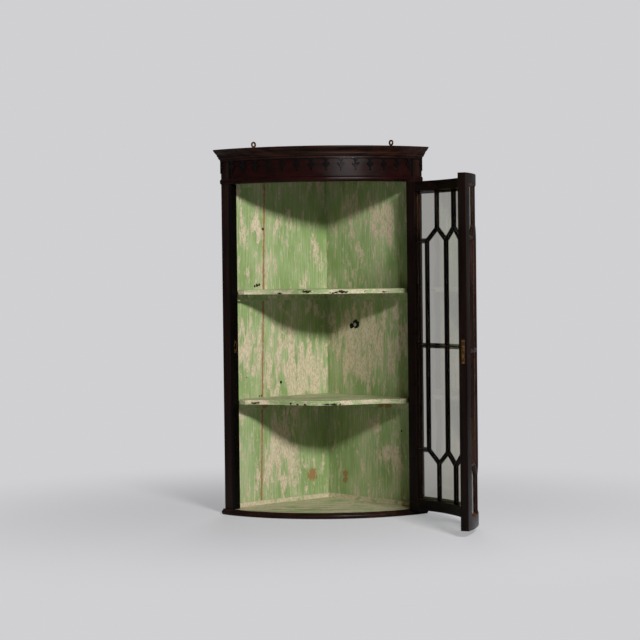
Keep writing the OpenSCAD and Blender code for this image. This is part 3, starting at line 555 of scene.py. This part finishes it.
def open_joint():
    """The joint in the left-hand back that has opened: how far along the wall it is at its foot and at
    its top, its height, and the depths of the inner and outer face."""
    places = [vert.co for vert in frame["nodes"]["back_board_left_front"].data.vertices]
    low = min(co.z for co in places)
    foot = max(co.dot(TO_CORNER) for co in places if co.z < low + WELD)
    top = max(co.dot(TO_CORNER) for co in places)
    depths = [co.dot(OUT_LEFT) for co in places]
    return foot, top, max(co.z for co in places), min(depths), max(depths)


def in_metres(marks):
    """Marks on a piece, each with its place and its radius in mm and what else it has, in metres."""
    return [(Vector((x, y, z)) * MM, radius * MM, *rest) for x, y, z, radius, *rest in marks]


class CABINET_OT_painted_boards(bpy.types.Operator):
    """Green and cream paint on the inside of the boards, with bare pine on their other sides"""
    bl_idname = "cabinet.painted_boards"
    bl_label = "Painted boards"

    def execute(self, context):
        look = context.scene.cabinet_finishes
        sizes = context.scene.cabinet_sizes
        foot, top, height, near, far = open_joint()
        half_way = (near + far) / 2
        outside = [(OUT_LEFT, half_way), (TO_CORNER, half_way), (UP, height - sizes.bare_end),
                   (-UP, -sizes.bare_end)]
        # Rubbed (plus) and better kept (minus) regions: distance along the wall, height and radius in
        # mm, and how much more of the undercoat shows
        left_regions = [(100, 790, 70, 0.09), (245, 830, 45, 0.06), (365, 720, 60, 0.08),
                        (230, 400, 150, 0.12), (335, 380, 90, 0.12), (80, 460, 110, 0.09),
                        (205, 130, 110, 0.14), (225, 230, 80, 0.1), (330, 210, 70, -0.05)]
        right_regions = [(285, 860, 60, 0.1), (290, 800, 45, 0.1), (140, 820, 85, 0.14),
                         (130, 490, 130, 0.1), (270, 470, 150, 0.13), (126, 150, 60, 0.13),
                         (192, 240, 35, 0.1), (70, 90, 60, 0.08), (270, 170, 90, -0.04)]
        # Bare wood, and holes and chips with what shows in them: place and radius in mm
        left_bare = [(-46, 223, 87, 19)]
        right_bare = [(51, 218, 88, 11), (50, 219, 70, 11)]
        left_holes = [(-129, 140, 361, 4.5, look.hole), (-220, 49, 380, 2, look.hole),
                      (-187, 82, 325, 2.5, look.chip_dark), (-182, 87, 326, 2.5, look.chip_dark),
                      (-196, 73, 638, 4, look.chip_dark), (-190, 79, 640, 5, look.chip_dark),
                      (-184, 85, 642, 4, look.chip_dark), (-172, 96, 800, 4, look.chip_dark)]
        right_holes = [(87, 182, 525, 14, look.hole), (74, 195, 520, 9, look.hole),
                       (84, 185, 523, 6, look.putty), (23.5, 245, 500.5, 2, look.hole),
                       (216, 52.5, 225, 3, look.hole)]
        left = painted(
            "painted_boards_left", "Z",
            regions=[(on_wall(-1, s, z), r * MM, amount) for s, z, r, amount in left_regions],
            bare_spots=in_metres(left_bare), holes=in_metres(left_holes), outside=outside,
            joint=(foot, (top - foot) / height))
        right = painted(
            "painted_boards_right", "Z", seed=21.0,
            regions=[(on_wall(1, s, z), r * MM, amount) for s, z, r, amount in right_regions],
            bare_spots=in_metres(right_bare), holes=in_metres(right_holes), outside=outside)
        dress(left, "back_board_left_front", "back_board_left_middle", "back_board_left_corner")
        dress(right, "back_board_right_front", "back_board_right_middle", "back_board_right_corner")
        floor = painted("painted_floor", "X", seed=31.0, cream=0.1, outside=[(-UP, -sizes.bare_under)])
        dress(floor, "bottom_board", "door_stop")
        strip = painted("painted_strip", "X", seed=37.0, cream=0.16, chipped=0.1)
        dress(strip, "floor_strip_left", "floor_strip_right")
        pine = bare_pine("bare_pine", look.pine_dark, look.pine, "X")
        dress(pine, "top_board", "glue_blocks")
        return {"FINISHED"}


class CABINET_OT_joint_filling(bpy.types.Operator):
    """Old filling of paint and dirt in the joint of the left-hand back that has opened"""
    bl_idname = "cabinet.joint_filling"
    bl_label = "Joint filling"

    def execute(self, context):
        look = context.scene.cabinet_finishes
        sizes = context.scene.cabinet_sizes
        foot, top, height, near, far = open_joint()
        upwards = TO_CORNER * (top - foot) + UP * (height - 2 * sizes.filling_short)
        depth = far - near - 2 * sizes.filling_deep
        axes = Matrix((OUT_LEFT * depth, TO_CORNER * sizes.filling_width, upwards)).transposed().to_4x4()
        middle = (OUT_LEFT * (near + far) + TO_CORNER * (foot + top + sizes.open_joint) + UP * height) / 2
        bm = bmesh.new()
        bmesh.ops.create_cube(bm, size=1.0, matrix=Matrix.Translation(middle) @ axes)
        filling = bare_pine("old_filling", look.chip_dark, look.filling, "Z")
        dress_piece(made("joint_filling", bm, "carcass"), filling)
        return {"FINISHED"}


class CABINET_OT_shelves(bpy.types.Operator):
    """Painted shelves and their cleats, with chipped front edges"""
    bl_idname = "cabinet.shelves"
    bl_label = "Shelves"

    def execute(self, context):
        look = context.scene.cabinet_finishes
        # Chips along the front edges: distance to the right of the middle, depth below the top and
        # radius, in mm
        upper_chips = [(-46, 6, 5), (-34, 5, 4), (44, 9, 4), (58, 7, 5), (73, 8, 4), (125, 6, 3),
                       (-120, 10, 3), (175, 9, 3)]
        lower_chips = [(-93, 9, 3), (-72, 10, 3), (-50, 10, 3), (12, 10, 3), (32, 10, 4), (55, 10, 3),
                       (-190, 8, 3)]
        for name, seed, chips in (("upper_shelf", 43.0, upper_chips), ("lower_shelf", 47.0, lower_chips)):
            places = [(self.edge_place(name, across, down), radius * MM)
                      for across, down, radius in chips]
            shelf = painted("painted_" + name, "X", seed=seed, cream=0.05, chipped=0.16, chips=places)
            dress(shelf, name)
        # Bare wood, and chips with what shows in them: place and radius in mm
        bare = [(-172, 80, 302, 13), (182, 75, 300, 14), (160, 96, 300, 12), (168, 95, 610, 6)]
        chips = [(-141, 118, 603, 4, look.chip_dark), (-95, 165, 605, 3, look.chip_dark)]
        cleat = painted("painted_cleat", "X", seed=53.0, chipped=0.16, bare_spots=in_metres(bare),
                        holes=in_metres(chips))
        dress(cleat, "lower_cleat_left", "lower_cleat_right", "upper_cleat_left", "upper_cleat_right")
        return {"FINISHED"}

    def edge_place(self, name, across, down):
        """A place on the front edge of a shelf, that many mm right of the middle and below the top."""
        places = [vert.co for vert in frame["nodes"][name].data.vertices]
        near = [co for co in places if abs(co.x - across * MM) < BEND_STEP]
        return Vector((across * MM, min(co.y for co in near), max(co.z for co in near) - down * MM))


class CABINET_OT_carcass_joinery(bpy.types.Operator):
    """Polished mahogany on the posts, the frieze, the mouldings and the arcade"""
    bl_idname = "cabinet.carcass_joinery"
    bl_label = "Carcass joinery"

    def execute(self, context):
        look = context.scene.cabinet_finishes
        light = look.mahogany_light
        worn = look.mahogany_worn_highlit
        upright = mahogany("mahogany_upright", look.mahogany_dark, look.post_brown, worn, "Z", jamb=JAMB)
        across = mahogany("mahogany_across", look.mahogany_dark, look.post_brown, worn, "X")
        frieze = mahogany("mahogany_frieze", look.frieze_dark, look.frieze_light, worn, "X")
        arcade = mahogany("mahogany_arcade", look.arcade, look.mahogany_dark, light, "X", roughness=0.16,
                          gloss=0.2)
        dress(upright, "corner_post_left", "corner_post_right")
        dress(frieze, "frieze_rail", "bead_front", "bead_left", "bead_right")
        dress(across, "base_moulding_front", "base_moulding_left", "base_moulding_right",
              "cornice_front", "cornice_left", "cornice_right")
        dress(arcade, "frieze_arcade_front", "frieze_arcade_left", "frieze_arcade_right")
        return {"FINISHED"}


def bar_profile(width, depth):
    """Section of an astragal bar, across and out: a half round between two small fillets. It is set out
    in shares of the width and the depth."""
    shares = [(0.5, 0.0), (0.5, 0.3), (0.4, 0.38), (0.36, 0.65), (0.24, 0.9), (0.08, 1.0)]
    side = [(across * width, out * depth) for across, out in shares]
    return side + [(-across, out) for across, out in reversed(side)]


def moulded_run(bm, profile, start, end, step=BEND_STEP):
    """A moulding laid flat between two places, each a distance round the bow and a height."""
    run = Vector(end) - Vector(start)
    across = Vector((-run.y, run.x)).normalized()
    ring = [bm.verts.new((start[0] + a * across.x, -out, start[1] + a * across.y)) for a, out in profile]
    end_face = bm.faces.new(ring)
    steps = max(1, round(abs(run.x) / step))
    for _ in range(steps):
        grown = bmesh.ops.extrude_face_region(bm, geom=[end_face])["geom"]
        end_face = next(part for part in grown if isinstance(part, bmesh.types.BMFace))
        moved = [part for part in grown if isinstance(part, bmesh.types.BMVert)]
        bmesh.ops.translate(bm, verts=moved, vec=(run.x / steps, 0.0, run.y / steps))


def moulded_frame(bm, profile, half_width, half_height, step=BEND_STEP):
    """A moulding laid flat round the four sides of the glass, mitred at the corners."""
    corners = [(-1, -1), (1, -1), (1, 1), (-1, 1)]
    rings = []
    for number, (side, rise) in enumerate(corners):
        onward = corners[(number + 1) % 4]
        steps = max(1, round(2 * half_width / step)) if rise == onward[1] else 1
        for count in range(steps):
            share = count / steps
            places = []
            for inwards, out in profile:
                wide, high = half_width - inwards, half_height - inwards
                here = Vector((side * wide, -out, rise * high))
                there = Vector((onward[0] * wide, -out, onward[1] * high))
                places.append(here.lerp(there, share))
            ring = [bm.verts.new(place) for place in places]
            rings.append([bm.edges.new((ring[i], ring[(i + 1) % len(ring)])) for i in range(len(ring))])
    for number, ring in enumerate(rings):
        bmesh.ops.bridge_loops(bm, edges=ring + rings[(number + 1) % len(rings)])


def bent_to_door(bm, middle):
    """Bends what was laid flat round the bow of the door, and turns it with the open door."""
    for vert in bm.verts:
        angle = vert.co.x / GLASS_SIDE_R
        radius = GLASS_SIDE_R - vert.co.y
        vert.co = (radius * math.sin(angle), BOW_CY - radius * math.cos(angle), middle + vert.co.z)
    bmesh.ops.rotate(bm, verts=bm.verts, cent=HINGE, matrix=Matrix.Rotation(OPEN_ANGLE, 3, "Z"))


class CABINET_OT_door(bpy.types.Operator):
    """Polished mahogany on the frame, the tracery and the ribs of the door"""
    bl_idname = "cabinet.door"
    bl_label = "Door"

    def execute(self, context):
        look = context.scene.cabinet_finishes
        worn = look.mahogany_worn_highlit
        upright = mahogany("mahogany_stile", look.mahogany_dark, look.mahogany_light, worn, "Z")
        across = mahogany("mahogany_rail", look.mahogany_dark, look.mahogany_light, worn, "X",
                          turn=OPEN_ANGLE)
        glazing = mahogany("mahogany_bars", look.mahogany_dark, look.post_brown, worn, "Z")
        # The moulding runs from the light mahogany to a brown that is painted sheen, the light it catches
        moulded = mahogany("mahogany_moulding", look.mahogany_light, look.door_sheen_brown, worn, "Z")
        dress(upright, "hinge_stile", "lock_stile", "tracery_ribs")
        dress(across, "door_top_rail", "door_bottom_rail")
        dress_piece(self.bars(context.scene.cabinet_sizes), glazing)
        dress_piece(self.sight(context.scene.cabinet_sizes), moulded)
        return {"FINISHED"}

    def bars(self, sizes):
        """The tracery: upright bars that part into pointed lights, and one bar across the middle."""
        bm = bmesh.new()
        profile = bar_profile(sizes.bar_width, sizes.bar_depth)
        column = sizes.column_angle * GLASS_SIDE_R
        joint, point = sizes.joint_rise, sizes.point_rise
        frame_side = sizes.edge_angle * GLASS_SIDE_R - sizes.sight_width / 2
        frame_end = HALF_OPENING - sizes.sight_width / 2
        moulded_run(bm, profile, (-frame_side, 0.0), (frame_side, 0.0))
        half = sizes.columns // 2
        for number in range(-half, half):
            moulded_run(bm, profile, ((number + 0.5) * column, -joint), ((number + 0.5) * column, joint))
        for rise in (-1, 1):
            for number in range(1 - half, half):
                top = (number * column, rise * point)
                moulded_run(bm, profile, top, (number * column, rise * frame_end))
                for side in (-0.5, 0.5):
                    moulded_run(bm, profile, top, ((number + side) * column, rise * joint))
            for side in (-1, 1):
                moulded_run(bm, profile, (side * (half - 0.5) * column, rise * joint),
                            (side * frame_side, rise * joint))
        bent_to_door(bm, DOOR_MIDDLE)
        piece = made("moulded_bars", bm, "door")
        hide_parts("tracery_bars")
        return piece

    def sight(self, sizes):
        """The moulding round the glass: a quarter round with a fillet next to the glass, set out in
        shares of the width and the depth."""
        bm = bmesh.new()
        shares = [(0.0, 0.0), (0.0, 1.0), (0.12, 1.0), (0.35, 0.95), (0.55, 0.8), (0.7, 0.55), (0.76, 0.3),
                  (1.0, 0.25), (1.0, 0.0)]
        profile = [(inwards * sizes.sight_width, out * sizes.bar_depth) for inwards, out in shares]
        moulded_frame(bm, profile, sizes.edge_angle * GLASS_SIDE_R, HALF_OPENING)
        bent_to_door(bm, DOOR_MIDDLE)
        piece = made("moulded_sight", bm, "door")
        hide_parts("sight_moulding")
        return piece


class CABINET_OT_glass(bpy.types.Operator):
    """Old clear glass in the door"""
    bl_idname = "cabinet.glass"
    bl_label = "Glass"

    def execute(self, context):
        dress(old_glass(), "top_panes", "upper_panes", "lower_panes", "bottom_panes")
        return {"FINISHED"}


class CABINET_OT_brassware(bpy.types.Operator):
    """Dulled brass on the hinges, the lock, the hanging plates and the screws"""
    bl_idname = "cabinet.brassware"
    bl_label = "Brassware"

    def execute(self, context):
        dress(dulled_brass(), "hanging_plate_left", "hanging_plate_right", "hanging_screws",
              "lock_strike", "upper_hinge_fixed_leaf", "lower_hinge_fixed_leaf", "hinge_pins",
              "fixed_leaf_screws", "upper_hinge_door_leaf", "lower_hinge_door_leaf",
              "door_leaf_screws", "lock_case", "lock_screws", "keyhole_escutcheon", "lock_bolt")
        return {"FINISHED"}


# The floor: how matt it is, and how much of the plain background it has under the cabinet
FLOOR_ROUGHNESS = 0.9
FLOOR_LIFTED = 0.45


class CABINET_OT_stage(bpy.types.Operator):
    """Pale floor, soft studio light and the camera"""
    bl_idname = "cabinet.stage"
    bl_label = "Stage"

    def execute(self, context):
        scene = context.scene
        look = scene.cabinet_stage
        scene.view_settings.view_transform = "Standard"

        bm = bmesh.new()
        bmesh.ops.create_circle(bm, cap_ends=True, segments=96, radius=look.floor_radius)
        mesh = bpy.data.meshes.new("studio_floor")
        bm.to_mesh(mesh)
        bm.free()
        floor = bpy.data.objects.new("studio_floor", mesh)
        scene.collection.objects.link(floor)
        mesh.materials.append(self.floor_material(look))

        world = bpy.data.worlds.new("studio")
        scene.world = world
        world.use_nodes = True
        tree = world.node_tree
        tree.nodes.clear()
        rays, seen = self.seen_rays(tree)
        share = add(tree, "Math", {0: rays.outputs["Is Glossy Ray"], 1: look.reflected, 2: seen},
                    operation="MULTIPLY_ADD")
        fill = add(tree, "Background", {"Color": look.fill_colour, "Strength": look.fill})
        shown = add(tree, "Background", {"Color": look.backdrop, "Strength": 1.0})
        both = add(tree, "MixShader", {0: share, 1: fill, 2: shown})
        add(tree, "OutputWorld", {"Surface": both})

        target = Vector(look.light_target)
        away = Vector((math.sin(look.key_azimuth) * math.cos(look.key_height),
                       -math.cos(look.key_azimuth) * math.cos(look.key_height),
                       math.sin(look.key_height)))
        behind = Vector((0.0, math.cos(look.back_height), math.sin(look.back_height)))
        self.soft_light("back_light", target + look.light_distance * behind, target,
                        (look.back_size, look.back_size), look.back_power)
        self.soft_light("key_light", target + look.light_distance * away, target, look.key_size,
                        look.key_power)
        self.camera(scene)
        return {"FINISHED"}

    def seen_rays(self, tree):
        """The kinds of ray, and 1 for those that see the stage straight or through the glass."""
        rays = add(tree, "LightPath")
        seen = add(tree, "Math", {0: rays.outputs["Is Camera Ray"], 1: rays.outputs["Is Transmission Ray"]},
                   operation="MAXIMUM")
        return rays, seen

    def floor_material(self, look):
        """Matt pale paint near the object, turning into the plain background further out."""
        material, tree, coords = new_material("studio_floor")
        matt = add(tree, "BsdfPrincipled", {"Base Color": look.floor, "Roughness": FLOOR_ROUGHNESS})
        plain = add(tree, "Emission", {"Color": look.backdrop, "Strength": 1.0})
        far = add(tree, "VectorMath", {0: coords}, operation="LENGTH")
        share = add(tree, "MapRange", {0: far, 1: look.floor_shown, 2: look.floor_faded,
                                       3: FLOOR_LIFTED, 4: 1.0}, **SOFT)
        rays, seen = self.seen_rays(tree)
        share = add(tree, "Math", {0: share, 1: seen}, operation="MULTIPLY")
        both = add(tree, "MixShader", {0: share, 1: matt, 2: plain})
        add(tree, "OutputMaterial", {"Surface": both})
        return material

    def soft_light(self, name, place, target, size, power):
        data = bpy.data.lights.new(name, "AREA")
        data.shape = "ELLIPSE"
        data.size, data.size_y = size
        data.energy = power
        light = bpy.data.objects.new(name, data)
        light.location = place
        light.rotation_euler = (target - place).to_track_quat("-Z", "Y").to_euler()
        bpy.context.scene.collection.objects.link(light)

    def camera(self, scene):
        """The photograph's viewpoint, worked out from the edges of the carcass and the door."""
        look = scene.cabinet_stage
        ahead = Vector((math.sin(look.yaw), math.cos(look.yaw), 0.0))
        side = Vector((math.cos(look.yaw), -math.sin(look.yaw), 0.0))
        view = ahead * math.cos(look.pitch) + UP * math.sin(look.pitch)
        over = UP * math.cos(look.pitch) - ahead * math.sin(look.pitch)
        across = side * math.cos(look.roll) + over * math.sin(look.roll)
        over = over * math.cos(look.roll) - side * math.sin(look.roll)
        data = bpy.data.cameras.new("camera")
        data.lens = look.lens
        data.sensor_width = look.sensor
        camera = bpy.data.objects.new("camera", data)
        scene.collection.objects.link(camera)
        place = Matrix.Translation(look.camera_place)
        camera.matrix_world = place @ Matrix((across, over, -view)).transposed().to_4x4()
        scene.camera = camera


class CABINET_PT_panel(bpy.types.Panel):
    """Lists the steps that finish the cabinet"""
    bl_idname = "CABINET_PT_panel"
    bl_label = "Hanging corner cabinet"
    bl_space_type = "VIEW_3D"
    bl_region_type = "UI"
    bl_category = "Cabinet"

    def draw(self, context):
        layout = self.layout
        for operator in OPERATORS:
            layout.operator(operator.bl_idname)
        for group in (context.scene.cabinet_finishes, context.scene.cabinet_sizes,
                      context.scene.cabinet_stage):
            box = layout.box()
            for name in group.bl_rna.properties.keys():
                if name not in ("rna_type", "name"):
                    box.prop(group, name)


OPERATORS = (
    CABINET_OT_painted_boards,
    CABINET_OT_joint_filling,
    CABINET_OT_shelves,
    CABINET_OT_carcass_joinery,
    CABINET_OT_door,
    CABINET_OT_glass,
    CABINET_OT_brassware,
    CABINET_OT_stage,
)
GROUPS = (CabinetFinishes, CabinetSizes, CabinetStage)


def register():
    for item in GROUPS + OPERATORS + (CABINET_PT_panel,):
        bpy.utils.register_class(item)
    bpy.types.Scene.cabinet_finishes = PointerProperty(type=CabinetFinishes)
    bpy.types.Scene.cabinet_sizes = PointerProperty(type=CabinetSizes)
    bpy.types.Scene.cabinet_stage = PointerProperty(type=CabinetStage)


def unregister():
    del bpy.types.Scene.cabinet_stage
    del bpy.types.Scene.cabinet_sizes
    del bpy.types.Scene.cabinet_finishes
    for item in reversed(GROUPS + OPERATORS + (CABINET_PT_panel,)):
        bpy.utils.unregister_class(item)


def main():
    register()
    for operator in OPERATORS:
        group, name = operator.bl_idname.split(".")
        getattr(getattr(bpy.ops, group), name)()


if __name__ == "__main__":
    main()
